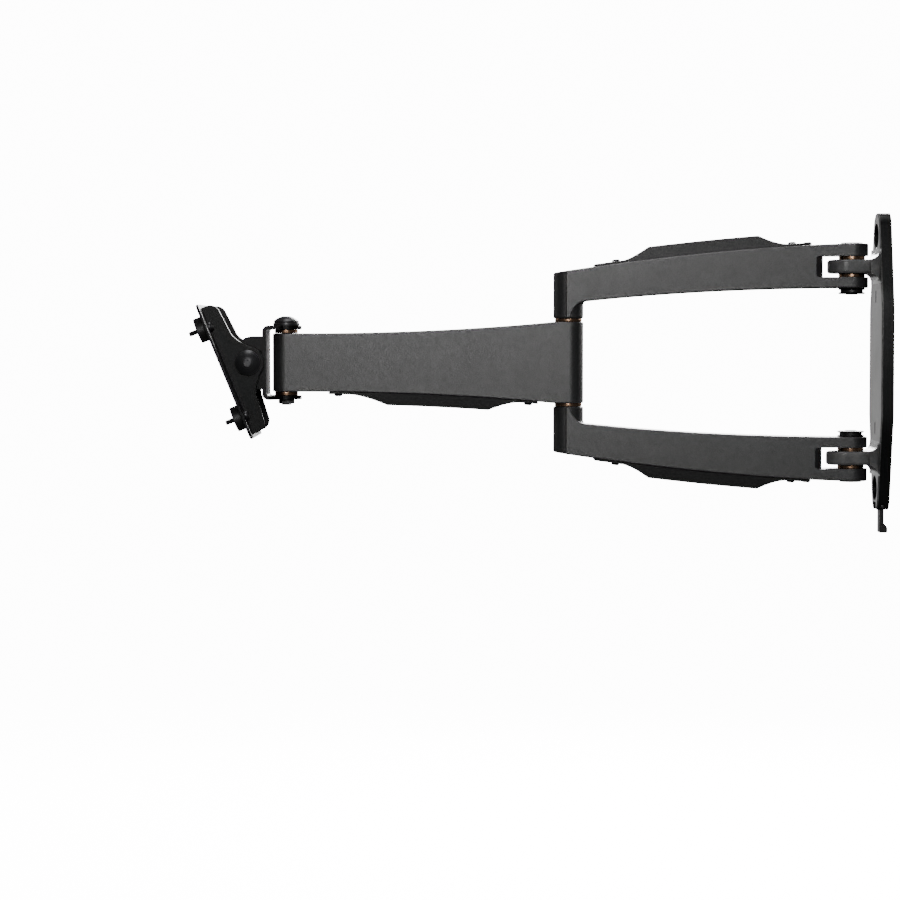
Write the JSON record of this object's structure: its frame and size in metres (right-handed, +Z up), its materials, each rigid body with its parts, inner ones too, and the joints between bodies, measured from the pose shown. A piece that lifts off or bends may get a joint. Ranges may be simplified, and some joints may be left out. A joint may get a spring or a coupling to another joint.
{
  "type": "full motion tv wall mount",
  "caption": "Folding wall bracket: cast plate, paired arms, a forearm, and a swivelling head that tilts a display plate.",
  "frame": {"origin": "centre of the wall plate's flat back", "axes": "+Z up, +Y into the wall, +X to the left of someone who faces the wall from the room, as the arms reach out along -Y"},
  "size_m": [0.115, 0.5566, 0.2561],
  "materials": {
    "cast_plate": "satin dark grey paint on a casting",
    "powder_coat": "fine grained charcoal powder coat",
    "black_plastic": "moulded, finely textured",
    "black_sheet": "satin black paint on pressed steel",
    "bronze": "plain turned bronze",
    "black_nut": "glossy black",
    "spacer_black": "moulded",
    "dark_steel": "dark zinc plate"
  },
  "bodies": {
    "wall": {"catch_pin": "dark_steel", "catch_spring": "dark_steel", "wall_bush_lower": "bronze", "wall_bush_upper": "bronze", "wall_plate": "cast_plate", "wall_washer_lower_inner": "bronze", "wall_washer_lower_outer": "bronze", "wall_washer_upper_inner": "bronze", "wall_washer_upper_outer": "bronze"},
    "catch": {"plate_catch": "black_plastic"},
    "arms": {"elbow_nut": "dark_steel", "elbow_plug_lower": "black_plastic", "elbow_plug_upper": "black_plastic", "elbow_shaft": "dark_steel", "elbow_washer_lower": "bronze", "elbow_washer_upper": "bronze", "lower_arm": "powder_coat", "lower_arm_cover": "black_plastic", "lower_cover_clip": "black_plastic", "lower_screw_elbow": "dark_steel", "lower_screw_wall": "dark_steel", "upper_arm": "powder_coat", "upper_arm_cover": "black_plastic", "upper_cover_clip": "black_plastic", "upper_screw_elbow": "dark_steel", "upper_screw_wall": "dark_steel", "wall_nut_lower": "black_nut", "wall_nut_upper": "black_nut", "wall_pin_lower": "dark_steel", "wall_pin_upper": "dark_steel"},
    "forearm": {"elbow_bush_lower": "bronze", "elbow_bush_upper": "bronze", "forearm": "powder_coat", "forearm_cover": "black_plastic", "forearm_screw_elbow": "dark_steel", "forearm_screw_swivel": "dark_steel", "swivel_bush_lower": "bronze", "swivel_bush_upper": "bronze", "swivel_washer_lower": "bronze", "swivel_washer_upper": "bronze"},
    "head": {"swivel_bolt": "dark_steel", "swivel_bracket": "black_sheet", "swivel_flat_washer": "dark_steel", "swivel_nut": "black_nut", "tilt_tube": "dark_steel", "tilt_washer_left": "bronze", "tilt_washer_right": "bronze"},
    "display": {"display_plate": "black_sheet", "display_screw_bottom_left": "dark_steel", "display_screw_bottom_right": "dark_steel", "display_screw_top_left": "dark_steel", "display_screw_top_right": "dark_steel", "spacer_bottom_left": "spacer_black", "spacer_bottom_right": "spacer_black", "spacer_top_left": "spacer_black", "spacer_top_right": "spacer_black", "tilt_bolt": "dark_steel", "tilt_nut": "black_nut"}
  },
  "joints": [
    {"name": "wall_swing", "type": "hinge", "parent": "wall", "child": "arms", "pos_m": [0, -0.0295, 0], "axis": [0, 0, 1], "range_deg": [-90, 90]},
    {"name": "elbow", "type": "hinge", "parent": "arms", "child": "forearm", "pos_m": [0, -0.2565, 0], "axis": [0, 0, -1], "range_deg": [-160, 160]},
    {"name": "head_swivel", "type": "hinge", "parent": "forearm", "child": "head", "pos_m": [0, -0.4821, 0], "axis": [0, 0, 1], "range_deg": [-90, 90]},
    {"name": "head_tilt", "type": "hinge", "parent": "head", "child": "display", "pos_m": [0, -0.5109, 0], "axis": [1, 0, 0], "range_deg": [-30, 8]},
    {"name": "catch_release", "type": "hinge", "parent": "wall", "child": "catch", "pos_m": [0, -0.005, -0.1153], "axis": [-1, 0, 0], "range_deg": [0, 12], "stiffness_Nm_per_rad": 0.05}
  ]
}
